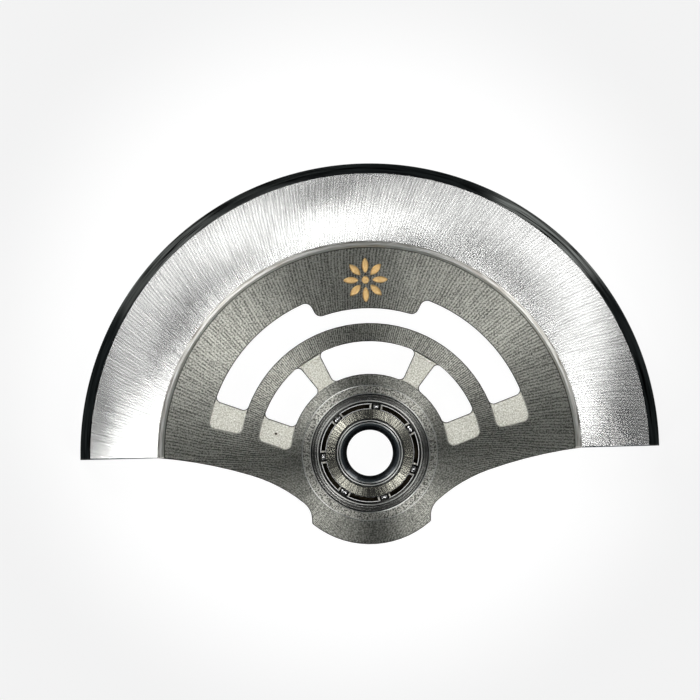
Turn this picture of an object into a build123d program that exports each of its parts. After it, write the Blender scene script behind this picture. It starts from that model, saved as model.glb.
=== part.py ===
from build123d import *
import os
from math import cos, pi, radians, sin, sqrt

# Oscillating weight of a self-winding wristwatch, seen from its back side.
#
# A thin skeletonised plate carries a thick half-ring of heavy metal along its edge. A bush in
# the plate's hub holds a ball bearing with seven balls, and the toothed drive wheel below it.
# The bearing's inner ring is clamped on the movement, and everything else swings around it.
#
# The rotation axis is Z and the heavy side lies towards +Y. Z = 0 is the face of the inner ring
# that seats on the movement, and +Z points to the watch's case back. Lengths are millimetres.

# Inner ring of the bearing: a core with the lower half of the race, and a cone pressed on it
bore_radius = 1.10
bore_edge = 0.04
sleeve_wall = 0.51
inner_race_wall = 0.35      # from the sleeve to the bottom of the race
core_rise = 0.68            # top of the core above the ball centres
core_edge = 0.045
core_foot_height = 0.16     # the seat stands this far proud of the core's shoulder
core_foot_width = 0.70
screw_sink_depth = 0.34     # countersink for the centre screw, at 45 degrees
cone_setback = 0.06         # top of the cone below the top of the core
cone_bore_edge = 0.07
cone_edge = 0.03

# Balls and races
ball_count = 7
ball_diameter = 0.50
ball_height = 0.78          # ball centres above the seat face
first_ball_angle = 80.95
race_clearance = 0.01       # between a ball and each slope of its V groove
race_relief = 0.03          # between a ball and the flat bottom of the groove
lip_distance = 0.1255       # from the balls' pitch circle to the lip of each ring

# Outer ring
outer_race_wall = 0.16
outer_ring_drop = 0.44      # its lower and upper faces, from the ball centres
outer_ring_rise = 0.50
outer_ring_sink = 0.10      # chamfer around the mouth, over the cage
ring_line_inset = 0.11      # a fine turned line in the ring's top
ring_line_width = 0.04
ring_line_depth = 0.03

# Cage: a ring below the balls, with a pair of horns that holds each ball from above
cage_inner_clearance = 0.015   # the cage is guided by the inner ring's lip
cage_outer_clearance = 0.018
cage_drop = 0.36            # underside of the ring below the ball centres
cage_deck_drop = 0.02       # top of the ring, between the pockets, below the ball centres
pocket_clearance = 0.018
horn_wall = 0.045
horn_rise = 0.235           # tips of the horns above the ball centres
horn_gap = 0.44             # opening between the two horns, narrower than the ball

# Bush in the hub
bush_wall = 0.59
bush_mouth_width = 0.18     # polished chamfer around the bearing
bush_edge = 0.03            # chamfer of the bush's visible rim
bush_rise = 0.02            # the bush stands this far above the plate
bush_flange_reach = 0.33    # beyond the bush, under the plate
bush_flange_thickness = 0.18
bush_lip_reach = 0.12       # under the bearing's outer ring
bush_lip_thickness = 0.10
spigot_wall = 0.32

# Drive wheel, pressed on the bush from below
tooth_count = 48
addendum_share = 1.0        # heights of the teeth, of the module
dedendum_share = 1.25
tooth_root_share = 0.74     # thickness at the root and at the tip, of the tooth pitch
tooth_tip_share = 0.20
wheel_rim = 0.128           # from the spigot to the roots of the teeth
wheel_thickness = 0.30
wheel_clearance = 0.02      # under the bush's flange

# Plate
plate_rise = 0.02           # above the bearing's outer ring
plate_thickness = 0.50
hub_wall = 0.53             # from the bush to the inner windows
web_width = 2.02            # from the outer windows to the foot of the rim
inner_window_share = 0.3878     # of the room between hub and web
arch_share = 0.2182             # the arch between the two rows of windows, of the same room
tongue_share = 0.555            # reach of the tongue into the outer window, of its width
tail_wall = 1.115           # from the bush to the end of the tail
tail_side = 0.22            # straight side of the tail, before its corner
pad_sink = 0.22             # depth of the sunk pads
window_corner_share = 0.154     # radius of the windows' corners, of the row's width
tongue_corner_share = 0.22      # and of the corners beside the tongue
pad_corner_share = 0.185
tail_corner = 0.15

# Angles of the windows and of the sunk pads at their ends, from the +Y axis of symmetry
axis_angle = 90.0
tongue_root_half_angle = 20.7
tongue_tip_half_angle = 19.85
centre_window_half_angle = 25.65
spoke_sweep = 12.45
side_window_sweep = 31.75
outer_pad_outer_sweep = 9.75    # the pads' ends don't lie on a radius
outer_pad_inner_sweep = 10.45
inner_pad_outer_sweep = 12.25
inner_pad_inner_sweep = 17.45
pad_overlap_sweep = 20.0        # the pads' cuts start this far inside the windows

# Lower outline of the plate: three arcs, each tighter than the last, from the rim to the tail
flank_lead_angle = 5.9
flank_turn = 12.1
shoulder_turn = 22.2
notch_radius = 1.01
tail_half_angle = 40.6

# Weight segment
rotor_radius = 13.90
segment_sweep = 180.0
rim_width = 3.72            # from the outer edge to the inner edge of the rim's top
bevel_width = 0.48          # dark polished bevel along the outer edge
bevel_height = 0.36
step_height = 0.34          # rim above plate
step_run = 0.34             # the wall between rim and plate, seen from above
step_land = 0.06            # upright foot of that wall
ledge_run = 0.20            # its flatter upper part, below the rim's edge
ledge_rise = 0.10
crown_fall = 0.27           # the rim's domed top is this much lower at the bevel
crown_bow = 0.018           # and bows up this far above a straight slope
block_width = 2.60          # the deep part of the segment, outside the plate's edge
segment_drop = 0.35         # the segment's underside lies this far below the seat face
segment_edge = 0.10         # chamfers of the segment's underside

# Radii, from the bore outwards
ball_radius = ball_diameter / 2
slope_reach = sqrt(2) * (ball_radius + race_clearance)
bottom_reach = ball_radius + race_relief
sleeve_radius = bore_radius + sleeve_wall
screw_sink_radius = bore_radius + screw_sink_depth
inner_bottom_radius = sleeve_radius + inner_race_wall
ball_pitch_radius = inner_bottom_radius + bottom_reach
inner_lip_radius = ball_pitch_radius - lip_distance
outer_lip_radius = ball_pitch_radius + lip_distance
outer_bottom_radius = ball_pitch_radius + bottom_reach
bearing_radius = outer_bottom_radius + outer_race_wall
bush_mouth_radius = bearing_radius + bush_mouth_width
bush_radius = bearing_radius + bush_wall
bush_flange_radius = bush_radius + bush_flange_reach
bush_lip_radius = bearing_radius - bush_lip_reach
spigot_radius = bearing_radius + spigot_wall
hub_radius = bush_radius + hub_wall
tail_radius = bush_radius + tail_wall
tail_half_width = tail_radius * sin(radians(tail_half_angle))

# Radii, from the outer edge inwards
bevel_inner_radius = rotor_radius - bevel_width
block_inner_radius = rotor_radius - block_width
step_radius = rotor_radius - rim_width
step_foot_radius = step_radius - step_run
outer_window_radius = step_foot_radius - web_width
window_room = outer_window_radius - hub_radius
inner_window_radius = hub_radius + inner_window_share * window_room
arch_radius = inner_window_radius + arch_share * window_room
tongue_radius = outer_window_radius - tongue_share * (outer_window_radius - arch_radius)

# Angles
window_half_angle = centre_window_half_angle + spoke_sweep + side_window_sweep
side_window_middle = window_half_angle - side_window_sweep / 2
shoulder_lead_angle = flank_lead_angle + flank_turn
notch_lead_angle = shoulder_lead_angle + shoulder_turn

# Heights
core_top = ball_height + core_rise
cone_top = core_top - cone_setback
outer_ring_bottom = ball_height - outer_ring_drop
outer_ring_top = ball_height + outer_ring_rise
plate_top = outer_ring_top + plate_rise
plate_bottom = plate_top - plate_thickness
pad_level = plate_top - pad_sink
bush_top = plate_top + bush_rise
flange_bottom = plate_bottom - bush_flange_thickness
spigot_bottom = outer_ring_bottom - bush_lip_thickness
wheel_top = flange_bottom - wheel_clearance
wheel_bottom = wheel_top - wheel_thickness
rim_inner_top = plate_top + step_height
rim_outer_top = rim_inner_top - crown_fall
segment_bottom = -segment_drop
cut_overrun = plate_thickness


def arch_outline(inner, outer, inner_half_angle, outer_half_angle, corner_share, centre=axis_angle):
    """An opening between two radii with rounded corners. Its ends may lie off the radius."""
    with BuildSketch() as outline:
        with BuildLine():
            crown = CenterArc((0, 0), outer, centre - outer_half_angle, 2 * outer_half_angle)
            sill = CenterArc((0, 0), inner, centre - inner_half_angle, 2 * inner_half_angle)
            Line(sill @ 0, crown @ 0)
            Line(crown @ 1, sill @ 1)
        make_face()
        fillet(outline.vertices(), corner_share * (outer - inner))
    return outline.sketch_local


def outer_window_outline():
    """The long window, with the tongue of the plate reaching into the middle of its outer side."""
    right_end = axis_angle - window_half_angle
    width = outer_window_radius - arch_radius
    root_left = axis_angle + tongue_root_half_angle
    tip_right = axis_angle - tongue_tip_half_angle
    side_sweep = window_half_angle - tongue_root_half_angle
    with BuildSketch() as outline:
        with BuildLine():
            right_crown = CenterArc((0, 0), outer_window_radius, right_end, side_sweep)
            tongue_tip = CenterArc((0, 0), tongue_radius, tip_right, 2 * tongue_tip_half_angle)
            left_crown = CenterArc((0, 0), outer_window_radius, root_left, side_sweep)
            sill = CenterArc((0, 0), arch_radius, right_end, 2 * window_half_angle)
            Line(sill @ 0, right_crown @ 0)
            Line(right_crown @ 1, tongue_tip @ 0)
            Line(tongue_tip @ 1, left_crown @ 0)
            Line(left_crown @ 1, sill @ 1)
        make_face()
        fillet(outline.vertices().sort_by(Axis.Y)[:4], window_corner_share * width)
        fillet(outline.vertices().sort_by(Axis.Y)[-4:], tongue_corner_share * width)
    return outline.sketch_local


# Weight segment: heavy sintered metal, with a rabbet that the plate's edge is brazed into
crown_middle = (
    (step_radius + bevel_inner_radius) / 2,
    (rim_inner_top + rim_outer_top) / 2 + crown_bow,
)
with BuildPart() as weight_segment:
    with BuildSketch(Plane.XZ):
        with BuildLine():
            step_wall = Polyline(
                (block_inner_radius, plate_top),
                (step_foot_radius, plate_top),
                (step_foot_radius, plate_top + step_land),
                (step_radius - ledge_run, rim_inner_top - ledge_rise),
                (step_radius, rim_inner_top),
            )
            crown = ThreePointArc(step_wall @ 1, crown_middle, (bevel_inner_radius, rim_outer_top))
            Polyline(
                crown @ 1,
                (rotor_radius, rim_outer_top - bevel_height),
                (rotor_radius, segment_bottom + segment_edge),
                (rotor_radius - segment_edge, segment_bottom),
                (block_inner_radius + segment_edge, segment_bottom),
                (block_inner_radius, segment_bottom + segment_edge),
                step_wall @ 0,
            )
        make_face()
    revolve(axis=Axis.Z, revolution_arc=segment_sweep)


# Plate: the outline runs from the segment along both flanks to the tail below the hub
def heading(angle):
    """Direction along the right flank where it slopes down towards the tail by that angle."""
    return (-cos(radians(angle)), -sin(radians(angle)))


def span(start_angle, end_angle):
    """Distance across and down, for a radius of one, of an arc between two slopes."""
    start, end = radians(start_angle), radians(end_angle)
    return (sin(end) - sin(start), cos(start) - cos(end))


# The flank's and the shoulder's radii make the three arcs end at the top of the tail's side
tail_corner_y = -tail_radius * cos(radians(tail_half_angle))
notch_span = span(notch_lead_angle, 90)
across_left = step_radius - tail_half_width - notch_radius * notch_span[0]
down_left = -tail_corner_y - tail_side - notch_radius * notch_span[1]
flank_span = span(flank_lead_angle, shoulder_lead_angle)
shoulder_span = span(shoulder_lead_angle, notch_lead_angle)
both = flank_span[0] * shoulder_span[1] - flank_span[1] * shoulder_span[0]
flank_radius = (across_left * shoulder_span[1] - down_left * shoulder_span[0]) / both
shoulder_radius = (down_left * flank_span[0] - across_left * flank_span[1]) / both
with BuildPart() as rotor_plate:
    with BuildSketch(Plane.XY.offset(plate_bottom)) as plate_outline:
        with BuildLine():
            rim_line = Line((block_inner_radius, 0), (step_radius, 0))
            flank = JernArc(rim_line @ 1, heading(flank_lead_angle), flank_radius, flank_turn)
            shoulder = JernArc(
                flank @ 1, heading(shoulder_lead_angle), shoulder_radius, shoulder_turn
            )
            notch = JernArc(
                shoulder @ 1, heading(notch_lead_angle), notch_radius, 90 - notch_lead_angle
            )
            Line(notch @ 1, (tail_half_width, tail_corner_y))
            mirror(about=Plane.YZ)
            CenterArc((0, 0), block_inner_radius, 0, 180)
            CenterArc((0, 0), tail_radius, -axis_angle - tail_half_angle, 2 * tail_half_angle)
        make_face()
        fillet(plate_outline.vertices().sort_by(Axis.Y)[:2], tail_corner)
    extrude(amount=plate_thickness)

    # Sunk pads: the ends of both rows of windows, and the two spokes of the inner row
    outer_pad_middle = window_half_angle - pad_overlap_sweep / 2
    with BuildSketch(Plane.XY.offset(pad_level)):
        for side in (-1, 1):
            add(
                arch_outline(
                    arch_radius,
                    outer_window_radius,
                    outer_pad_inner_sweep + pad_overlap_sweep / 2,
                    outer_pad_outer_sweep + pad_overlap_sweep / 2,
                    pad_corner_share,
                    axis_angle + side * outer_pad_middle,
                )
            )
        add(
            arch_outline(
                hub_radius,
                inner_window_radius,
                window_half_angle + inner_pad_inner_sweep,
                window_half_angle + inner_pad_outer_sweep,
                pad_corner_share,
            )
        )
    extrude(amount=cut_overrun, mode=Mode.SUBTRACT)

    # Through windows, and the bush's seat
    with BuildSketch(Plane.XY.offset(plate_bottom - cut_overrun)):
        add(outer_window_outline())
        add(
            arch_outline(
                hub_radius,
                inner_window_radius,
                centre_window_half_angle,
                centre_window_half_angle,
                window_corner_share,
            )
        )
        for side in (-1, 1):
            add(
                arch_outline(
                    hub_radius,
                    inner_window_radius,
                    side_window_sweep / 2,
                    side_window_sweep / 2,
                    window_corner_share,
                    axis_angle + side * side_window_middle,
                )
            )
        Circle(bush_radius)
    extrude(amount=plate_thickness + 2 * cut_overrun, mode=Mode.SUBTRACT)


# Bush: riveted into the hub, with a flange below the plate and a spigot for the drive wheel.
# The sections of the turned pieces are given as corners, each a radius and a height.
bush_section = [
    (bearing_radius, outer_ring_bottom),
    (bearing_radius, bush_top - (bush_mouth_radius - bearing_radius)),
    (bush_mouth_radius, bush_top),
    (bush_radius - bush_edge, bush_top),
    (bush_radius, bush_top - bush_edge),
    (bush_radius, plate_bottom),
    (bush_flange_radius, plate_bottom),
    (bush_flange_radius, flange_bottom),
    (spigot_radius, flange_bottom),
    (spigot_radius, spigot_bottom),
    (bush_lip_radius, spigot_bottom),
    (bush_lip_radius, outer_ring_bottom),
]
with BuildPart() as hub_bush:
    with BuildSketch(Plane.XZ):
        with BuildLine():
            Polyline(*bush_section, close=True)
        make_face()
    revolve(axis=Axis.Z)


# Drive wheel: a toothed ring that passes the rotor's turns on to the winding train
root_radius = spigot_radius + wheel_rim
tooth_module = root_radius / (tooth_count / 2 - dedendum_share)
tip_radius = tooth_module * (tooth_count / 2 + addendum_share)
root_half = tooth_root_share * pi * tooth_module / 2
tip_half = tooth_tip_share * pi * tooth_module / 2
foot_radius = sqrt(root_radius**2 - root_half**2)


def tooth_outline():
    """One tooth towards +X: a trapezium whose foot lies just on the root circle."""
    with BuildSketch() as outline:
        with BuildLine():
            Polyline(
                (foot_radius, -root_half),
                (tip_radius, -tip_half),
                (tip_radius, tip_half),
                (foot_radius, root_half),
                close=True,
            )
        make_face()
    return outline.sketch_local


with BuildPart() as drive_wheel:
    with BuildSketch(Plane.XY.offset(wheel_bottom)):
        Circle(root_radius)
        with PolarLocations(0, tooth_count):
            add(tooth_outline())
        Circle(spigot_radius, mode=Mode.SUBTRACT)
    extrude(amount=wheel_thickness)


# Bearing rings: turned, with V grooves whose slopes stand at 45 degrees to the axis
bottom_rise = slope_reach - bottom_reach
mouth_rise = slope_reach - lip_distance
ring_line_radius = bearing_radius - ring_line_inset
core_seat_radius = bore_radius + core_foot_width

outer_ring_section = [
    (outer_lip_radius, outer_ring_bottom),
    (outer_lip_radius, ball_height - mouth_rise),
    (outer_bottom_radius, ball_height - bottom_rise),
    (outer_bottom_radius, ball_height + bottom_rise),
    (outer_lip_radius, ball_height + mouth_rise),
    (outer_lip_radius, outer_ring_top - outer_ring_sink),
    (outer_lip_radius + outer_ring_sink, outer_ring_top),
    (ring_line_radius - ring_line_width / 2, outer_ring_top),
    (ring_line_radius, outer_ring_top - ring_line_depth),
    (ring_line_radius + ring_line_width / 2, outer_ring_top),
    (bearing_radius, outer_ring_top),
    (bearing_radius, outer_ring_bottom),
]
with BuildPart() as bearing_outer_ring:
    with BuildSketch(Plane.XZ):
        with BuildLine():
            Polyline(*outer_ring_section, close=True)
        make_face()
    revolve(axis=Axis.Z)

core_section = [
    (bore_radius, bore_edge),
    (bore_radius, core_top - (screw_sink_radius - bore_radius)),
    (screw_sink_radius, core_top),
    (sleeve_radius - core_edge, core_top),
    (sleeve_radius, core_top - core_edge),
    (sleeve_radius, ball_height),
    (inner_bottom_radius, ball_height),
    (inner_bottom_radius, ball_height - bottom_rise),
    (inner_lip_radius, ball_height - mouth_rise),
    (inner_lip_radius, core_foot_height),
    (core_seat_radius, core_foot_height),
    (core_seat_radius, 0),
    (bore_radius + bore_edge, 0),
]
with BuildPart() as bearing_core:
    with BuildSketch(Plane.XZ):
        with BuildLine():
            Polyline(*core_section, close=True)
        make_face()
    revolve(axis=Axis.Z)

cone_section = [
    (sleeve_radius, ball_height),
    (sleeve_radius, cone_top - cone_bore_edge),
    (sleeve_radius + cone_bore_edge, cone_top),
    (inner_lip_radius - cone_edge, cone_top),
    (inner_lip_radius, cone_top - cone_edge),
    (inner_lip_radius, ball_height + mouth_rise),
    (inner_bottom_radius, ball_height + bottom_rise),
    (inner_bottom_radius, ball_height),
]
with BuildPart() as bearing_cone:
    with BuildSketch(Plane.XZ):
        with BuildLine():
            Polyline(*cone_section, close=True)
        make_face()
    revolve(axis=Axis.Z)


# Cage: a crown of horns in pairs, with a round pocket between the two of each pair
cage_inner_radius = inner_lip_radius + cage_inner_clearance
cage_outer_radius = outer_lip_radius - cage_outer_clearance
cage_bottom = ball_height - cage_drop
cage_deck = ball_height - cage_deck_drop
horn_top = ball_height + horn_rise
pocket_radius = ball_radius + pocket_clearance
across_ring = 2 * ball_diameter
over_pocket = (Align.CENTER, Align.CENTER, Align.MIN)
with BuildPart() as ball_cage:
    with BuildSketch(Plane.XY.offset(cage_bottom)) as cage_ring:
        Circle(cage_outer_radius)
        Circle(cage_inner_radius, mode=Mode.SUBTRACT)
    extrude(amount=cage_deck - cage_bottom)
    with BuildSketch(Plane.XY.offset(cage_deck)):
        with PolarLocations(ball_pitch_radius, ball_count, first_ball_angle):
            Rectangle(across_ring, 2 * (pocket_radius + horn_wall))
        add(cage_ring.sketch_local, mode=Mode.INTERSECT)
    extrude(amount=horn_top - cage_deck)
    with PolarLocations(ball_pitch_radius, ball_count, first_ball_angle):
        with Locations((0, 0, ball_height)):
            Cylinder(pocket_radius, across_ring, rotation=(0, 90, 0), mode=Mode.SUBTRACT)
            Box(across_ring, horn_gap, horn_rise, align=over_pocket, mode=Mode.SUBTRACT)


# Balls, numbered counter-clockwise from the one nearest the axis of symmetry
balls = []
for number in range(ball_count):
    angle = radians(first_ball_angle + number * 360 / ball_count)
    centre = (ball_pitch_radius * cos(angle), ball_pitch_radius * sin(angle), ball_height)
    with BuildPart() as ball:
        with Locations(centre):
            Sphere(ball_radius)
    balls.append(ball)

pieces = {
    "rotor_plate": rotor_plate,
    "weight_segment": weight_segment,
    "hub_bush": hub_bush,
    "drive_wheel": drive_wheel,
    "bearing_outer_ring": bearing_outer_ring,
    "bearing_core": bearing_core,
    "bearing_cone": bearing_cone,
    "ball_cage": ball_cage,
}
for number, ball in enumerate(balls, start=1):
    pieces[f"ball_{number}"] = ball

os.makedirs("parts", exist_ok=True)
for name, piece in pieces.items():
    piece.part.label = name
    export_step(piece.part, f"parts/{name}.step")
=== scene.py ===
from math import cos, pi, radians, sin
import bmesh
import bpy
import numpy as np
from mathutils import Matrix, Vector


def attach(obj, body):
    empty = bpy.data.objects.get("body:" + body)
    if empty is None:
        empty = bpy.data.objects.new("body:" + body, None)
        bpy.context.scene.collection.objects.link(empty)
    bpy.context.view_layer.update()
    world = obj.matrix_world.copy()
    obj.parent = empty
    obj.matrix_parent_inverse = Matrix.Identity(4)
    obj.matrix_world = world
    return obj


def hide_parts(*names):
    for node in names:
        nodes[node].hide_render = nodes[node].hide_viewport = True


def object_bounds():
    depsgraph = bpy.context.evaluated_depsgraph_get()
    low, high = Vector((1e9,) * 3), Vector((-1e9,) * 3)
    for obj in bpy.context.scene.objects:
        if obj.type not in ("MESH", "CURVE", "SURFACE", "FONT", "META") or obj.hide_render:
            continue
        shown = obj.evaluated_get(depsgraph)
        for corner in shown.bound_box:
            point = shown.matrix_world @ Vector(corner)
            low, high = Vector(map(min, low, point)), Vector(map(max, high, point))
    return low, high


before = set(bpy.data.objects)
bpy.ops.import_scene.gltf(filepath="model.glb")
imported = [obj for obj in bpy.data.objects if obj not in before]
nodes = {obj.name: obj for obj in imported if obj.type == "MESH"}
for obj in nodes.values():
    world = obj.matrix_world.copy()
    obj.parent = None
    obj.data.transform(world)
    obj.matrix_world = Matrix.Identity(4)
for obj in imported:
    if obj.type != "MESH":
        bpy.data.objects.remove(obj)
cad_low, cad_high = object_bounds()
MM = 0.001


# ---- Camera: straight down on the rotor's visible side, through a long lens, level with the photograph
camera_height = 600 * MM
picture_width = 33.66 * MM
picture_centre = (-0.8265 * MM, 4.959 * MM)
object_turn = 1.45
camera = bpy.data.objects.new("camera", bpy.data.cameras.new("camera"))
camera.data.sensor_width = 36
camera.data.lens = camera.data.sensor_width * camera_height / picture_width
camera.data.clip_start, camera.data.clip_end = 0.01, 10
camera.location = (*picture_centre, camera_height)
camera.rotation_euler = (0, 0, -radians(object_turn))
bpy.context.scene.collection.objects.link(camera)
bpy.context.scene.camera = camera
bpy.context.scene.view_settings.view_transform = "Standard"


# ---- Studio: a dozen small softboxes high over the object and some larger ones lower down, dark between them, which
# brushed metal turns into bright and dark fans, under a cool sky that is darkest overhead. The floor is pale.
def node(tree, kind, inputs=(), **settings):
    """Adds a shader node, and sets or links its inputs, given by name or number."""
    made = tree.nodes.new("ShaderNode" + kind)
    for key, value in settings.items():
        setattr(made, key, value)
    for key, value in dict(inputs).items():
        if isinstance(value, bpy.types.NodeSocket):
            tree.links.new(value, made.inputs[key])
        else:
            made.inputs[key].default_value = value
    return made


def maths(tree, operation, *values):
    """One step of arithmetic on numbers or sockets, and its result."""
    return node(tree, "Math", enumerate(values), operation=operation).outputs[0]


def softbox(name, place, width, radiance, tilt=0, azimuth=0):
    """A square lamp, facing down unless it is tilted. Its power gives it that radiance."""
    lamp = bpy.data.lights.new(name, "AREA")
    lamp.shape, lamp.size = "SQUARE", width
    lamp.energy = pi * width**2 * radiance
    made = bpy.data.objects.new(name, lamp)
    made.location = place
    made.rotation_euler = (0, tilt, azimuth)
    bpy.context.scene.collection.objects.link(made)


# The high boxes hang at one height: place across and up the picture and width, as shares of it, and radiance
lamp_height = 1.2
high_boxes = (
    (-0.162, -0.172, 0.140, 10.35), (0.122, 0.182, 0.084, 5.0), (-0.102, 0.064, 0.072, 5.95),
    (-0.277, 0.097, 0.088, 3.4), (0.003, 0.168, 0.042, 8.85), (-0.167, 0.139, 0.070, 4.8),
    (0.147, 0.045, 0.040, 7.0), (0.195, -0.209, 0.048, 14.2), (0.086, 0.294, 0.082, 5.4),
    (-0.126, 0.204, 0.102, 0.6), (0.239, -0.194, 0.100, 0.95), (0.235, -0.171, 0.054, 1.6),
)
for number, (across, up, width, radiance) in enumerate(high_boxes):
    place = (across * lamp_height, up * lamp_height, lamp_height)
    softbox(f"high_box_{number}", place, width * lamp_height, radiance)

# The low boxes stand as far off, each facing the object: tilt from overhead, azimuth, width and radiance. The last
# four light the sloped step and the bevel.
low_boxes = (
    (30, 330, 0.42, 2.2), (30, 150, 0.42, 0.47), (30, 30, 0.42, 0.6), (55, 120, 0.64, 3.3), (55, 30, 0.64, 0.4),
    (57, 222, 0.60, 2.6), (57, 312, 0.60, 2.3), (76, 49, 0.52, 2.0), (76, 136, 0.52, 1.0),
)
for number, (tilt, azimuth, width, radiance) in enumerate(low_boxes):
    tilt, azimuth = radians(tilt), radians(azimuth)
    across = lamp_height * sin(tilt)
    place = (across * cos(azimuth), across * sin(azimuth), lamp_height * cos(tilt))
    softbox(f"low_box_{number}", place, width, radiance, tilt, azimuth)

world = bpy.data.worlds.new("studio")
bpy.context.scene.world = world
world.use_nodes = True
tree = world.node_tree
sky_overhead, sky_low, sky_falloff = 0.02, 0.4, 3.0
height = node(tree, "SeparateXYZ", {0: node(tree, "TexCoord").outputs["Generated"]}).outputs["Z"]
lowness = maths(tree, "POWER", maths(tree, "SUBTRACT", 1.0, maths(tree, "ABSOLUTE", height)), sky_falloff)
strength = node(tree, "MapRange", {"Value": lowness, "To Min": sky_overhead, "To Max": sky_low}).outputs[0]
tree.links.new(strength, tree.nodes["Background"].inputs["Strength"])
tree.nodes["Background"].inputs["Color"].default_value = (0.80, 0.93, 1.0, 1)

# The floor is a matt white to the light that falls on it. To the eye, and in reflections, it shines: brightest within
# glow_inner of the middle of the picture, and less so out to glow_outer.
floor_level, floor_reach = cad_low.z - 0.02 * MM, 2
glow_inner, glow_outer, glow_bright, glow_faint = 10 * MM, 19.5 * MM, 0.94, 0.785
floor_corners = [(x * floor_reach, y * floor_reach, floor_level) for x, y in ((-1, -1), (1, -1), (1, 1), (-1, 1))]
floor_mesh = bpy.data.meshes.new("floor")
floor_mesh.from_pydata(floor_corners, [], [(0, 1, 2, 3)])
floor = bpy.data.objects.new("floor", floor_mesh)
bpy.context.scene.collection.objects.link(floor)
paper = bpy.data.materials.new("paper")
paper.use_nodes = True
tree = paper.node_tree
tree.nodes.clear()
place = node(tree, "TexCoord").outputs["Object"]
middle = (*picture_centre, floor_level)
away = node(tree, "VectorMath", {0: place, 1: middle}, operation="DISTANCE").outputs["Value"]
span = {"Value": away, "From Min": glow_inner, "From Max": glow_outer, "To Min": glow_bright, "To Max": glow_faint}
fade = node(tree, "MapRange", span, interpolation_type="SMOOTHSTEP")
path = node(tree, "LightPath").outputs
seen = maths(tree, "MAXIMUM", path["Is Glossy Ray"], path["Is Transmission Ray"])
seen = maths(tree, "MAXIMUM", path["Is Camera Ray"], seen)
glow = node(tree, "Emission", {"Color": (1, 1, 1, 1), "Strength": fade.outputs[0]})
shaded = node(tree, "BsdfDiffuse", {"Color": (0.16, 0.16, 0.16, 1)})
bright = node(tree, "AddShader", {0: glow.outputs[0], 1: shaded.outputs[0]})
matt = node(tree, "BsdfDiffuse", {"Color": (0.85, 0.85, 0.85, 1)})
both = node(tree, "MixShader", {0: seen, 1: matt.outputs[0], 2: bright.outputs[0]})
node(tree, "OutputMaterial", {"Surface": both.outputs[0]})
floor_mesh.materials.append(paper)


# ---- Weight segment: half a ring of sintered tungsten alloy. Its domed top is brushed outwards, and the bevel round the
# edge is turned and polished, coloured nearly black as a painted dark reflection. The step down to the plate is
# painted
# in bands: a painted grey band of shade along its top, a painted highlight below that, a painted brownish shade lower
# down, and painted shade in the seam at its foot.
def profile(rows):
    """The outline and the finishes of a lathed piece. Each row is a corner's radius and height in mm, how far
    before and after it the corner is eased, and the finish from there to the next. An eased corner becomes the
    quadratic curve (1-t)^2 a + 2t(1-t) corner + t^2 b between the two points a and b at that distance, with one
    more point 0.003 mm outside each of them, which keeps the shading of the stretches beside it flat."""
    guard, curve_points = 0.003, 5
    corners, easing = np.array([row[:2] for row in rows]), np.array([row[2] for row in rows])[:, None]
    before, after = np.roll(corners, 1, 0) - corners, np.roll(corners, -1, 0) - corners
    before, after = (away / np.linalg.norm(away, axis=1)[:, None] for away in (before, after))
    t = np.linspace(0, 1, curve_points)[:, None, None]
    first, last = corners + before * easing, corners + after * easing
    bent = (1 - t) ** 2 * first + 2 * t * (1 - t) * corners + t**2 * last
    bent = np.concatenate(([first + before * guard], bent, [last + after * guard])).swapaxes(0, 1)
    outline, finishes = [], []
    for number, (row, run) in enumerate(zip(rows, bent)):
        outline += list(run) if row[2] else [row[:2]]
        finishes += [rows[number - 1][3]] + [row[3]] * (curve_points + 1) if row[2] else [row[3]]
    return np.array(outline), finishes


def turned(name, rows, materials, body, sweep=2 * pi, steps=360):
    """A lathed solid: the point (r, z) of its profile goes to (r cos a, r sin a, z) for a from 0 to sweep.
    A part turn is closed by a flat face at each end, which takes the last finish."""
    outline, finishes = profile(rows)
    outline = outline * MM
    count, whole = len(outline), sweep >= 2 * pi
    angle = np.linspace(0, sweep, steps, endpoint=not whole)[:, None]
    radius, height = outline[:, 0][None], outline[:, 1][None] + 0 * angle
    points = np.stack((radius * np.cos(angle), radius * np.sin(angle), height), -1).reshape(-1, 3)
    row, column = np.meshgrid(np.arange(steps if whole else steps - 1), np.arange(count), indexing="ij")
    here, there, along = row * count, (row + 1) % steps * count, (column + 1) % count
    quads = np.stack((here + column, there + column, there + along, here + along), -1).reshape(-1, 4)
    faces = quads.tolist()
    kinds = np.tile(finishes, len(faces) // count)
    if not whole:
        faces += [list(range(count)), list(range((steps - 1) * count, steps * count))[::-1]]
        kinds = np.append(kinds, [len(materials) - 1] * 2)
    mesh = bpy.data.meshes.new(name)
    mesh.from_pydata(points, [], faces)
    return finished(name, mesh, kinds, materials, body)


def finished(name, mesh, kinds, materials, body):
    """Makes a piece from its mesh: outward faces, materials by face, smooth shading kept flat on flat faces."""
    for material in materials:
        mesh.materials.append(material)
    mesh.polygons.foreach_set("material_index", np.array(kinds, np.int32))
    mesh.polygons.foreach_set("use_smooth", np.ones(len(mesh.polygons), bool))
    work = bmesh.new()
    work.from_mesh(mesh)
    bmesh.ops.recalc_face_normals(work, faces=work.faces)
    work.to_mesh(mesh)
    work.free()
    made = bpy.data.objects.new(name, mesh)
    bpy.context.scene.collection.objects.link(made)
    made.modifiers.new("flat faces stay flat", "WEIGHTED_NORMAL").keep_sharp = True
    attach(made, body)
    return made


def metal(name, colour, roughness, anisotropy=0.0):
    """Returns the material, its tree and its shader."""
    made = bpy.data.materials.new(name)
    made.use_nodes = True
    tree = made.node_tree
    tree.nodes.clear()
    inputs = {"Base Color": (*colour, 1), "Metallic": 1.0, "Roughness": roughness, "Anisotropic": anisotropy}
    surface = node(tree, "BsdfPrincipled", inputs)
    node(tree, "OutputMaterial", {"Surface": surface.outputs[0]})
    return made, tree, surface


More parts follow.
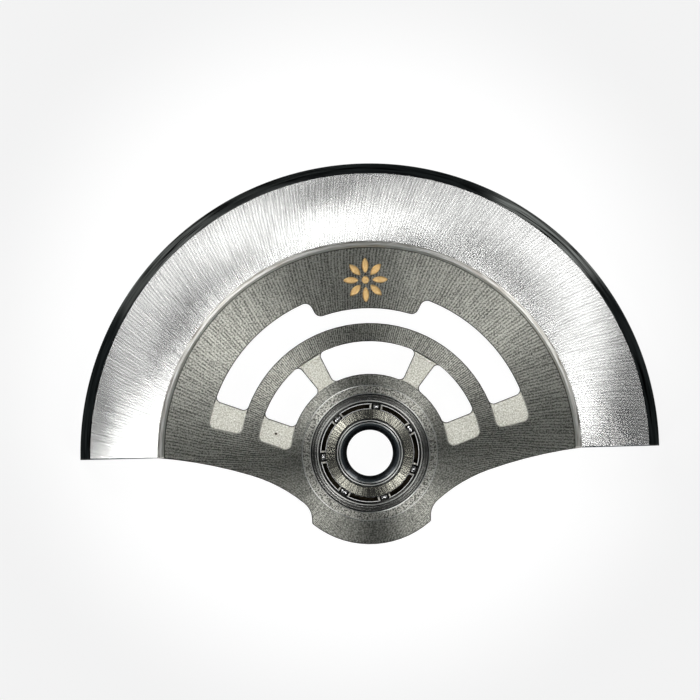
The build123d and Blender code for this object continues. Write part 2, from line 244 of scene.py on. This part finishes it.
def finish(tree, surface, value, dark, light, depth=0.0):
    """Colours a metal from dark to light as the value goes from 0.3 to 0.7, and engraves it that deep in mm."""
    share = node(tree, "MapRange", {"Value": value, "From Min": 0.3, "From Max": 0.7}).outputs[0]
    colour = node(tree, "Mix", {"Factor": share, "A": (*dark, 1), "B": (*light, 1)}, data_type="RGBA")
    tree.links.new(colour.outputs["Result"], surface.inputs["Base Color"])
    if depth:
        bump = node(tree, "Bump", {"Height": value, "Strength": 1.0, "Distance": depth * MM})
        tree.links.new(bump.outputs[0], surface.inputs["Normal"])


def round_coordinates(tree):
    """The object's own place in millimetres, its direction from the axis, and its distance from it."""
    place = node(tree, "TexCoord").outputs["Object"]
    place = node(tree, "VectorMath", {0: place, "Scale": 1 / MM}, operation="SCALE").outputs[0]
    flat = node(tree, "VectorMath", {0: place, 1: (1, 1, 0)}, operation="MULTIPLY").outputs[0]
    direction = node(tree, "VectorMath", {0: flat}, operation="NORMALIZE").outputs[0]
    distance = node(tree, "VectorMath", {0: flat}, operation="LENGTH").outputs["Value"]
    return place, direction, distance


def grain(tree, per_mm, roughness=0.65):
    """Even noise with that many grains to a millimetre."""
    inputs = {"Vector": round_coordinates(tree)[0], "Scale": per_mm, "Detail": 1.5, "Roughness": roughness}
    return node(tree, "TexNoise", inputs).outputs["Fac"]


def brushing(tree, count, lean, comb, streaks, grains):
    """Brushing from the axis outwards, around 0.5. The strokes are curved: along one, the angle round the axis
    plus lean times the distance stays the same. The value is comb sin(count angle + a slow wander), so many
    lines to a turn, with noise drawn out along the strokes and even noise added, each times its own share."""
    wander_size, wander_depth, cells_per_line = 0.8, 5.0, 0.2
    place, direction, distance = round_coordinates(tree)
    twist = maths(tree, "MULTIPLY", distance, lean)
    direction = node(tree, "VectorRotate", {"Vector": direction, "Angle": twist}, rotation_type="Z_AXIS").outputs[0]
    x, y, z = node(tree, "SeparateXYZ", {0: direction}).outputs
    turns = maths(tree, "MULTIPLY", maths(tree, "ARCTAN2", y, x), float(count))
    wander = node(tree, "TexNoise", {"Vector": place, "Scale": wander_size, "Detail": 0.0}).outputs["Fac"]
    wave = maths(tree, "SINE", maths(tree, "MULTIPLY_ADD", wander, wander_depth, turns))
    spread = node(tree, "VectorMath", {0: direction, "Scale": cells_per_line * count}, operation="SCALE").outputs[0]
    run = node(tree, "CombineXYZ", {"Z": distance}).outputs[0]
    where = node(tree, "VectorMath", {0: spread, 1: run}, operation="ADD").outputs[0]
    drawn = node(tree, "TexNoise", {"Vector": where, "Scale": 1.0, "Detail": 1.0}).outputs["Fac"]
    drawn = maths(tree, "MULTIPLY_ADD", maths(tree, "SUBTRACT", drawn, 0.5), streaks, 0.5)
    even = maths(tree, "SUBTRACT", grain(tree, per_mm=13, roughness=0.9), 0.5)
    noise = maths(tree, "MULTIPLY_ADD", even, grains, drawn)
    return maths(tree, "MULTIPLY_ADD", wave, comb, noise)


def rings(tree, spacing, length):
    """Marks turned round the axis: noise drawn out round it, with its spacing in mm across them. Height counts
    for a part of the distance across, so that upright walls have marks too."""
    height_share, cells_round, cell_share = 0.4, 10, 0.6
    place, direction, distance = round_coordinates(tree)
    height = node(tree, "SeparateXYZ", {0: place}).outputs["Z"]
    across = maths(tree, "MULTIPLY_ADD", height, height_share, distance)
    spread = node(tree, "VectorMath", {0: direction, "Scale": cells_round / length}, operation="SCALE").outputs[0]
    run = node(tree, "CombineXYZ", {"Z": maths(tree, "DIVIDE", across, cell_share * spacing)}).outputs[0]
    where = node(tree, "VectorMath", {0: spread, 1: run}, operation="ADD").outputs[0]
    return node(tree, "TexNoise", {"Vector": where, "Scale": 1.0, "Detail": 1.0, "Roughness": 0.6}).outputs["Fac"]


def spread_light(tree, surface, outwards=False):
    """Turns the long side of the highlights round the axis, along (-y, x, 0), or outwards, along (x, y, 0)."""
    x, y, z = node(tree, "SeparateXYZ", {0: node(tree, "TexCoord").outputs["Object"]}).outputs
    ends = {"X": x, "Y": y} if outwards else {"X": maths(tree, "MULTIPLY", y, -1.0), "Y": x}
    own = node(tree, "CombineXYZ", ends).outputs[0]
    settings = {"vector_type": "VECTOR", "convert_from": "OBJECT", "convert_to": "WORLD"}
    turned_vector = node(tree, "VectorTransform", {0: own}, **settings).outputs[0]
    tree.links.new(turned_vector, surface.inputs["Tangent"])


heavy_brushed, tree, surface = metal("heavy_brushed", (0.72, 0.72, 0.71), 0.195, 1.0)
lines = brushing(tree, 532, 0.0165, 0.10, 0.45, 0.28)
finish(tree, surface, lines, (0.545, 0.545, 0.535), (0.90, 0.90, 0.885), 0.00025)
spread_light(tree, surface)

# Polished tungsten coloured nearly black: a painted dark reflection of the dark surroundings.
bevel_painted_dark_reflection, tree, surface = metal("bevel_painted_dark_reflection", (0.025, 0.026, 0.025), 0.16)
finish(tree, surface, rings(tree, 0.07, 1.5), (0, 0, 0), (0.10, 0.105, 0.10))

# The step is one turned finish in lit and shaded copies: a painted highlight, a painted grey band of shade, a painted
# brownish shade, and painted shade in the seam where the step meets the plate.
step_painted_highlight, tree, surface = metal("step_painted_highlight", (0.92, 0.90, 0.85), 0.42)
finish(tree, surface, rings(tree, 0.09, 0.9), (0.50, 0.46, 0.40), (1.0, 1.0, 0.97), 0.003)

step_painted_grey_band, tree, surface = metal("step_painted_grey_band", (0.60, 0.58, 0.54), 0.42)
finish(tree, surface, rings(tree, 0.09, 0.9), (0.18, 0.16, 0.13), (0.95, 0.93, 0.88), 0.003)

step_painted_brown_shade, tree, surface = metal("step_painted_brown_shade", (0.90, 0.87, 0.80), 0.42)
finish(tree, surface, rings(tree, 0.09, 0.9), (0.60, 0.55, 0.48), (1.0, 1.0, 0.94), 0.003)

step_painted_seam_shade, tree, surface = metal("step_painted_seam_shade", (0.05, 0.045, 0.04), 0.5)
finish(tree, surface, rings(tree, 0.05, 4), (0.02, 0.018, 0.015), (0.09, 0.08, 0.07))

heavy_ground, tree, surface = metal("heavy_ground", (0.42, 0.42, 0.41), 0.38)
finish(tree, surface, grain(tree, 14), (0.34, 0.34, 0.33), (0.50, 0.50, 0.49), 0.003)

plate_top = 1.30
step_foot, step_seam_end, step_ledge = (9.84, 1.36), (9.875, 1.405), (9.98, 1.54)
step_line, step_top = (10.08, 1.59), (10.18, 1.64)
bevel_inner, bevel_foot = (13.42, 1.37), (13.90, 1.01)
block_inner, underside, block_chamfer, crown_bow = 11.30, -0.35, 0.10, 0.018
crown_start, crown_points = 0.008, 25      # the crown's own points stay clear of the eased corners at its ends
across = np.concatenate(([crown_start], np.linspace(0, 1, crown_points)[1:-1], [1 - crown_start]))
crown_radius = step_top[0] + across * (bevel_inner[0] - step_top[0])
crown_height = step_top[1] + across * (bevel_inner[1] - step_top[1]) + 4 * crown_bow * across * (1 - across)
BRUSHED, POLISHED, PAINTED_HIGHLIGHT, PAINTED_GREY_BAND, PAINTED_BROWN_SHADE, PAINTED_SEAM_SHADE, GROUND = range(7)
weight_rows = [(radius, height, 0, BRUSHED) for radius, height in zip(crown_radius, crown_height)] + [
    (*bevel_inner, 0.015, POLISHED),
    (*bevel_foot, 0.01, GROUND),
    (bevel_foot[0], underside + block_chamfer, 0.03, GROUND),
    (bevel_foot[0] - block_chamfer, underside, 0.03, GROUND),
    (block_inner + block_chamfer, underside, 0.03, GROUND),
    (block_inner, underside + block_chamfer, 0.03, GROUND),
    (block_inner, plate_top, 0.005, GROUND),
    (step_foot[0], plate_top, 0.005, PAINTED_SEAM_SHADE),
    (*step_foot, 0.005, PAINTED_SEAM_SHADE),
    (*step_seam_end, 0.005, PAINTED_BROWN_SHADE),
    (*step_ledge, 0.02, PAINTED_HIGHLIGHT),
    (*step_line, 0, PAINTED_GREY_BAND),
    (*step_top, 0.015, BRUSHED),
]
weight_finishes = [heavy_brushed, bevel_painted_dark_reflection, step_painted_highlight, step_painted_grey_band, step_painted_brown_shade, step_painted_seam_shade, heavy_ground]
weight = turned("weight_segment_brushed", weight_rows, weight_finishes, "rotor", sweep=pi, steps=541)
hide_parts("weight_segment")


# ---- Plate: a thin skeletonised plate, brazed into the segment. The web and the hub are brushed outwards, the sunk
# pads and the spokes are frosted, and its outer corners are eased, mostly in a painted dark reflection and beside the
# pads in a painted highlight. Two small pits show on its upper side.
def eased(name, source, easing, segments, kinds_of, materials, body, share_of=lambda places, drop: 1.0):
    """A copy of a CAD solid with its loose triangles merged into whole faces, and its outer corners rounded. Inner
    corners stay sharp, and so do outer ones that get none of the easing. Which material a face has comes from
    kinds_of(centres in mm, normals); the rounded edges take the last one. How much of the easing an outer corner
    gets comes from share_of(its ends in mm, the lowest height its two faces reach)."""
    weld_distance, flat_angle, corner_angle = 0.0005 * MM, radians(0.2), radians(30)
    work = bmesh.new()
    work.from_mesh(nodes[source].data)
    bmesh.ops.remove_doubles(work, verts=work.verts, dist=weld_distance)
    bmesh.ops.dissolve_limit(work, angle_limit=flat_angle, verts=work.verts, edges=work.edges)
    shares = work.edges.layers.float.new("bevel_weight_edge")
    for edge in work.edges:
        if edge.calc_face_angle() > corner_angle:
            places = [corner.co / MM for corner in edge.verts]
            drop = min(corner.co.z for face in edge.link_faces for corner in face.verts) / MM
            edge[shares] = share_of(places, drop) if edge.is_convex else 0.0
            edge.smooth = edge[shares] > 0
    mesh = bpy.data.meshes.new(name)
    work.to_mesh(mesh)
    work.free()
    centres, normals = np.zeros(3 * len(mesh.polygons)), np.zeros(3 * len(mesh.polygons))
    mesh.polygons.foreach_get("center", centres)
    mesh.polygons.foreach_get("normal", normals)
    mesh.materials.clear()
    kinds = kinds_of(centres.reshape(-1, 3) / MM, normals.reshape(-1, 3))
    made = finished(name, mesh, kinds, materials, body)
    bevel = made.modifiers.new("eased edges", "BEVEL")
    bevel.width, bevel.segments, bevel.limit_method = easing * MM, segments, "WEIGHT"
    bevel.material, bevel.use_clamp_overlap = len(materials) - 1, False
    made.modifiers.move(1, 0)      # the easing comes before the step that keeps flat faces flat
    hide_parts(source)
    return made


def pitted(tree, value, centre, radius=0.05):
    """The value, brought down to nothing within a small round pit."""
    place = round_coordinates(tree)[0]
    away = node(tree, "VectorMath", {0: place, 1: centre}, operation="DISTANCE").outputs["Value"]
    inputs = {"Value": away, "From Min": 0.6 * radius, "From Max": 1.2 * radius}
    return maths(tree, "MULTIPLY", node(tree, "MapRange", inputs).outputs[0], value)


pad_level, hub_hole_radius = 1.08, 3.27
tail_pit, pad_pit, pad_pit_radius = (-1.622, -3.487, plate_top), (-4.479, 1.030, pad_level), 0.07
plate_brushed, tree, surface = metal("plate_brushed", (0.40, 0.40, 0.38), 0.30, 1.0)
distance = round_coordinates(tree)[2]
deeper = node(tree, "MapRange", {"Value": distance, "From Min": 6, "From Max": 8, "To Min": 0.14, "To Max": 0.1})
lines = brushing(tree, 380, 0.0139, deeper.outputs[0], 0.36, 1.25)
darker = node(tree, "MapRange", {"Value": distance, "From Min": 3.5, "From Max": 8.5, "To Min": -0.07, "To Max": 0.0})
lines = pitted(tree, maths(tree, "ADD", lines, darker.outputs[0]), tail_pit)
finish(tree, surface, lines, (0.10, 0.10, 0.09), (0.555, 0.555, 0.495), 0.0013)
spread_light(tree, surface)

plate_frosted, tree, surface = metal("plate_frosted", (0.92, 0.90, 0.83), 0.33)
speckle = pitted(tree, grain(tree, 14, 0.95), pad_pit, pad_pit_radius)
finish(tree, surface, speckle, (0.42, 0.40, 0.31), (1.0, 1.0, 0.93), 0.008)
pit_edge, pit_colour = 0.25, (0.03, 0.02, 0.02, 1)
value = node(tree, "MapRange", {"Value": speckle, "From Max": pit_edge}).outputs[0]
dark = node(tree, "Mix", {"Factor": value, "A": pit_colour}, data_type="RGBA")
tree.links.new(surface.inputs["Base Color"].links[0].from_socket, dark.inputs["B"])
tree.links.new(dark.outputs["Result"], surface.inputs["Base Color"])

plate_wall, tree, surface = metal("plate_wall", (0.42, 0.42, 0.41), 0.35)
finish(tree, surface, grain(tree, 8), (0.34, 0.34, 0.33), (0.48, 0.48, 0.47), 0.002)

# The plate's eased edges are coloured dark, a painted dark reflection, but for the upper ones beside the pads, which
# are coloured lighter, a painted highlight. These lie where the direction from the axis has a sine within pads_reach
# of pads_sine.
upper_level, pads_sine, pads_reach = 1.2, 0.165, 0.16
painted_edge_tone, painted_highlight_gain, grain_share = 0.26, 0.35, 0.15
painted_edge_shade_and_highlight, tree, surface = metal("painted_edge_shade_and_highlight", (0.08, 0.08, 0.075), 0.45)
place, direction, distance = round_coordinates(tree)
upper = maths(tree, "GREATER_THAN", node(tree, "SeparateXYZ", {0: place}).outputs["Z"], upper_level)
sine = node(tree, "SeparateXYZ", {0: direction}).outputs["Y"]
highlight_painted_by_pads = maths(tree, "COMPARE", sine, pads_sine, pads_reach)
# The painted highlight on the upper edges beside the pads, over the painted dark reflection elsewhere.
light = maths(tree, "MULTIPLY_ADD", maths(tree, "MULTIPLY", upper, highlight_painted_by_pads), painted_highlight_gain, painted_edge_tone)
light = maths(tree, "MULTIPLY_ADD", grain(tree, 12), grain_share, light)
finish(tree, surface, light, (0.05, 0.05, 0.045), (0.50, 0.49, 0.44))


def plate_kinds(centres, normals):
    """Brushed above and below, frosted on the pads' floors, and ground on the walls."""
    flat = np.abs(normals[:, 2]) > 0.9
    floors = flat & (np.abs(centres[:, 2] - pad_level) < 0.02)
    return np.where(floors, 1, np.where(flat, 0, 2))


def plate_easing(places, drop):
    """None in the hub's hole, a third where the arch and the hub stand over the spokes, and all of it elsewhere."""
    near, over_spokes = 0.01, 0.35
    if all(abs(place.xy.length - hub_hole_radius) < near for place in places):
        return 0.0
    return over_spokes if drop > pad_level - near and abs(places[0].x) < places[0].y else 1.0


plate_finishes = [plate_brushed, plate_frosted, plate_wall, painted_edge_shade_and_highlight]
plate = eased("rotor_plate_brushed", "rotor_plate", 0.045, 2, plate_kinds, plate_finishes, "rotor", plate_easing)


# ---- Rosette: a small gilt inlay in the tongue above the hub, eight petals round a pip, a plain ornament. Each leaf
# is a closed low cushion that is set a little way into the plate.
gilt, tree, surface = metal("gilt", (0.84, 0.55, 0.24), 0.38)
finish(tree, surface, grain(tree, 10), (0.76, 0.47, 0.18), (0.90, 0.62, 0.29), 0.002)


def inlay_leaf(centre, length, width, heading, rows=5, steps=40):
    """A low cushion with an almond outline, flat below. At u round it and v from its edge to its middle, its point
    is (length cos u, width sin u |sin u|^0.5) (1 - v) / 2, and it rises as the root of 1 - (1 - v)^4."""
    sink, rise, almost_middle = 0.01, 0.035, 0.999
    u = np.linspace(0, 2 * pi, steps, endpoint=False)[None]
    v = np.linspace(0, almost_middle, rows)[:, None]
    x = length / 2 * np.cos(u) * (1 - v)
    y = width / 2 * np.sin(u) * np.abs(np.sin(u)) ** 0.5 * (1 - v)
    z = plate_top - sink + rise * np.sqrt(1 - (1 - v) ** 4) + 0 * u
    turn_x, turn_y = cos(heading), sin(heading)
    points = np.stack((centre[0] + x * turn_x - y * turn_y, centre[1] + x * turn_y + y * turn_x, z), -1)
    row, column = np.meshgrid(np.arange(rows - 1), np.arange(steps), indexing="ij")
    here, along = row * steps + column, row * steps + (column + 1) % steps
    faces = np.stack((here, along, along + steps, here + steps), -1).reshape(-1, 4).tolist()
    faces += [list(range((rows - 1) * steps, rows * steps)), list(range(steps))[::-1]]
    return points.reshape(-1, 3) * MM, faces


rosette_centre, petal_reach, petal_length, petal_width, pip_width, petals = (0, 8.3), 0.70, 0.80, 0.36, 0.42, 8
leaves = [inlay_leaf(rosette_centre, pip_width, pip_width, 0)]
for petal in range(petals):
    heading = pi / 2 + petal * pi / 4
    middle = (rosette_centre[0] + petal_reach * cos(heading), rosette_centre[1] + petal_reach * sin(heading))
    leaves.append(inlay_leaf(middle, petal_length, petal_width, heading))
points, faces, start = [], [], 0
for leaf_points, leaf_faces in leaves:
    points.append(leaf_points)
    faces += [[start + corner for corner in face] for face in leaf_faces]
    start += len(leaf_points)
rosette_mesh = bpy.data.meshes.new("rosette_inlay")
rosette_mesh.from_pydata(np.concatenate(points), [], faces)
rosette = finished("rosette_inlay", rosette_mesh, [0] * len(faces), [gilt], "rotor")


# ---- Bush: turned steel, set into the hub. Its upper face is brushed outwards like the plate, its rim stands up with
# a painted highlight on its chamfers, and the chamfer round the bearing has fine lines turned in it, in painted shade.
# Below the plate it has a flange and the drive wheel's spigot.
bush_brushed, tree, surface = metal("bush_brushed", (0.38, 0.38, 0.36), 0.31, 1.0)
lines = brushing(tree, 190, 0.0139, 0.02, 0.5, 2.5)
finish(tree, surface, lines, (0.08, 0.08, 0.07), (0.57, 0.565, 0.51), 0.0015)
spread_light(tree, surface)

turned_steel, tree, surface = metal("turned_steel", (0.27, 0.27, 0.26), 0.24, 0.95)
finish(tree, surface, rings(tree, 0.06, 60), (0.08, 0.08, 0.075), (0.45, 0.45, 0.43))
spread_light(tree, surface, outwards=True)

# The same turned steel in a darker copy: painted shade on chamfers, fine lines and rings of the turned faces.
turned_painted_shade, tree, surface = metal("turned_painted_shade", (0.15, 0.15, 0.14), 0.24, 0.95)
finish(tree, surface, rings(tree, 0.06, 60), (0.05, 0.05, 0.045), (0.25, 0.25, 0.235))
spread_light(tree, surface, outwards=True)

# The same turned steel in a lighter copy: a painted highlight on rings and chamfers of the turned faces.
turned_painted_highlight, tree, surface = metal("turned_painted_highlight", (0.58, 0.58, 0.56), 0.30, 0.8)
finish(tree, surface, rings(tree, 0.06, 60), (0.46, 0.46, 0.44), (0.70, 0.70, 0.68))
spread_light(tree, surface, outwards=True)

FACE, TURNED, PAINTED_SHADE_LINES, PAINTED_CHAMFER_HIGHLIGHT = range(4)
bearing_radius, ring_bottom, lip_radius, line_crest, line_root = 2.68, 0.34, 2.56, 1.25, 1.22
bush_radius, bush_top, plate_bottom = hub_hole_radius, 1.32, 0.80
flange_radius, flange_bottom, spigot_radius, spigot_bottom = 3.60, 0.62, 3.00, 0.24
bush_rows = [
    (bearing_radius, ring_bottom, 0.01, TURNED), (bearing_radius, line_crest, 0.003, PAINTED_SHADE_LINES),
    (2.70, line_root, 0.003, PAINTED_SHADE_LINES), (2.72, line_crest, 0.003, TURNED), (2.765, line_crest, 0.003, PAINTED_SHADE_LINES),
    (2.785, line_root, 0.003, PAINTED_SHADE_LINES), (2.84, plate_top, 0.005, PAINTED_CHAMFER_HIGHLIGHT), (2.88, bush_top, 0.005, FACE),
    (3.235, bush_top, 0.006, PAINTED_CHAMFER_HIGHLIGHT), (bush_radius, 1.295, 0.006, TURNED), (bush_radius, plate_bottom, 0.02, TURNED),
    (flange_radius, plate_bottom, 0.03, TURNED), (flange_radius, flange_bottom, 0.03, TURNED),
    (spigot_radius, flange_bottom, 0.02, TURNED), (spigot_radius, spigot_bottom, 0.03, TURNED),
    (lip_radius, spigot_bottom, 0.02, TURNED), (lip_radius, ring_bottom, 0.01, TURNED),
]
bush = turned("hub_bush_turned", bush_rows, [bush_brushed, turned_steel, turned_painted_shade, turned_painted_highlight], "rotor")
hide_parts("hub_bush")


# ---- Bearing's outer ring: hardened steel, ground, with fine lines turned in its top and a V groove for the balls.
# Its top is painted in rings of highlight and shade.
PLAIN, PAINTED_SHADE, PAINTED_HIGHLIGHT = range(3)
outer_lip, outer_groove, ring_top = 2.3655, 2.52, 1.28
groove_start, groove_bottom_start, groove_bottom_end, groove_end = 0.5378, 0.6923, 0.8677, 1.0222
ring_rows = [
    (outer_lip, ring_bottom, 0.02, PLAIN), (outer_lip, groove_start, 0.01, PLAIN),
    (outer_groove, groove_bottom_start, 0.01, PLAIN), (outer_groove, groove_bottom_end, 0.01, PLAIN),
    (outer_lip, groove_end, 0.01, PLAIN), (outer_lip, 1.18, 0.006, PLAIN), (2.4255, 1.24, 0.005, PAINTED_SHADE),
    (2.4655, ring_top, 0.006, PAINTED_SHADE), (2.485, ring_top, 0.004, PAINTED_HIGHLIGHT), (2.52, ring_top, 0.005, PLAIN),
    (2.55, ring_top, 0.004, PAINTED_SHADE), (2.57, 1.25, 0.005, PAINTED_SHADE), (2.59, ring_top, 0.005, PLAIN),
    (2.66, ring_top, 0.006, PAINTED_SHADE), (bearing_radius, 1.26, 0.006, PLAIN), (bearing_radius, ring_bottom, 0.02, PLAIN),
]
outer_ring = turned("bearing_outer_ring_ground", ring_rows, [turned_steel, turned_painted_shade, turned_painted_highlight], "rotor")
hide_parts("bearing_outer_ring")


# ---- Bearing's core: the inner ring's lower half with its sleeve. The countersink for the centre screw and the
# sleeve's top, with a fine line turned in it, are polished, and coloured nearly black as a painted dark reflection,
# with rings of painted highlight and the sleeve's outer chamfer in painted shade. The core's foot is the face that
# seats on the movement.
# Polished steel coloured nearly black: a painted dark reflection of the dark surroundings.
steel_painted_dark_reflection, tree, surface = metal("steel_painted_dark_reflection", (0.085, 0.09, 0.095), 0.14)
finish(tree, surface, rings(tree, 0.06, 30), (0.07, 0.075, 0.08), (0.10, 0.105, 0.11))
PLAIN, SHINY, PAINTED_HIGHLIGHT, PAINTED_SHADE = range(4)
bore_radius, sleeve_radius, inner_groove, inner_lip, foot_radius, foot_top = 1.10, 1.61, 1.96, 2.1145, 1.80, 0.16
ball_level, core_top, core_line = 0.78, 1.46, 1.425
core_rows = [
    (bore_radius, 0.0, 0.03, SHINY), (bore_radius, 1.12, 0.02, SHINY), (1.30, 1.322, 0, SHINY),
    (1.37, 1.388, 0, SHINY), (1.405, 1.42, 0.005, PAINTED_HIGHLIGHT), (1.44, 1.455, 0.004, PAINTED_HIGHLIGHT),
    (1.465, core_top, 0.004, SHINY), (1.50, core_line, 0.004, SHINY), (1.53, core_top, 0.004, PAINTED_HIGHLIGHT),
    (1.575, core_top, 0.005, PAINTED_SHADE), (sleeve_radius, core_line, 0.01, PLAIN), (sleeve_radius, ball_level, 0.01, PLAIN),
    (inner_groove, ball_level, 0.01, PLAIN), (inner_groove, groove_bottom_start, 0.01, PLAIN),
    (inner_lip, groove_start, 0.02, PLAIN), (inner_lip, foot_top, 0.02, PLAIN),
    (foot_radius, foot_top, 0.01, PLAIN), (foot_radius, 0.0, 0.03, PLAIN),
]
core_finishes = [turned_steel, steel_painted_dark_reflection, turned_painted_highlight, turned_painted_shade]
core = turned("bearing_core_ground", core_rows, core_finishes, "inner_ring")
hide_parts("bearing_core")


# ---- Bearing's cone: the inner ring's upper half, pressed on the sleeve. Its top is brushed outwards, and the chamfer
# and the wall round its edge are in painted shade.
disc_brushed, tree, surface = metal("disc_brushed", (0.38, 0.37, 0.34), 0.21, 1.0)
finish(tree, surface, brushing(tree, 112, 0.0, 0.06, 0.9, 0.1), (0.16, 0.155, 0.13), (0.54, 0.53, 0.455))
spread_light(tree, surface)
BRUSHED, TURNED, PAINTED_SHADE = range(3)
cone_top = 1.40
cone_rows = [
    (sleeve_radius, ball_level, 0.01, TURNED), (sleeve_radius, 1.33, 0.01, TURNED), (1.68, cone_top, 0.005, BRUSHED),
    (2.095, cone_top, 0.005, PAINTED_SHADE), (inner_lip, 1.375, 0.005, PAINTED_SHADE), (inner_lip, groove_end, 0.01, TURNED),
    (inner_groove, groove_bottom_end, 0.01, TURNED), (inner_groove, ball_level, 0.01, TURNED),
]
cone = turned("bearing_cone_brushed", cone_rows, [disc_brushed, turned_steel, turned_painted_shade], "inner_ring")
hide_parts("bearing_cone")


# ---- Cage: milled brass, coloured nearly black between the balls as painted shade, with a painted highlight on the tips
# of the horns that hold each ball
cage_painted_shade, tree, surface = metal("cage_painted_shade", (0.025, 0.02, 0.013), 0.5)
finish(tree, surface, grain(tree, 12), (0.012, 0.010, 0.006), (0.038, 0.031, 0.02))
# The lighter brass of the horns' tips is a painted highlight.
cage_painted_highlight, tree, surface = metal("cage_painted_highlight", (0.50, 0.485, 0.44), 0.30)
finish(tree, surface, grain(tree, 14), (0.42, 0.405, 0.36), (0.58, 0.565, 0.52))


def cage_kinds(centres, normals):
    """The horns' tips, above 1 mm, take the painted highlight."""
    return np.where(centres[:, 2] > 1.0, 1, 0)


cage = eased("ball_cage_milled", "ball_cage", 0.008, 2, cage_kinds, [cage_painted_shade, cage_painted_highlight, cage_painted_shade], "cage")


# ---- Balls: seven polished steel balls, which need nothing but their finish
ball_polished, tree, surface = metal("ball_polished", (0.62, 0.62, 0.62), 0.06)
finish(tree, surface, grain(tree, 5), (0.58, 0.58, 0.59), (0.66, 0.66, 0.66))
for number in range(1, 8):
    ball = nodes[f"ball_{number}"]
    ball.data.materials.clear()
    ball.data.materials.append(ball_polished)


# ---- Drive wheel: a brass ring of teeth under the hub, pressed on the bush, with its outer corners eased
wheel_brass, tree, surface = metal("wheel_brass", (0.80, 0.62, 0.34), 0.32)
finish(tree, surface, rings(tree, 0.08, 20), (0.70, 0.53, 0.27), (0.88, 0.70, 0.41), 0.002)


def wheel_kinds(centres, normals):
    """Brass all over."""
    return np.zeros(len(centres))


wheel = eased("drive_wheel_cut", "drive_wheel", 0.015, 2, wheel_kinds, [wheel_brass], "rotor")
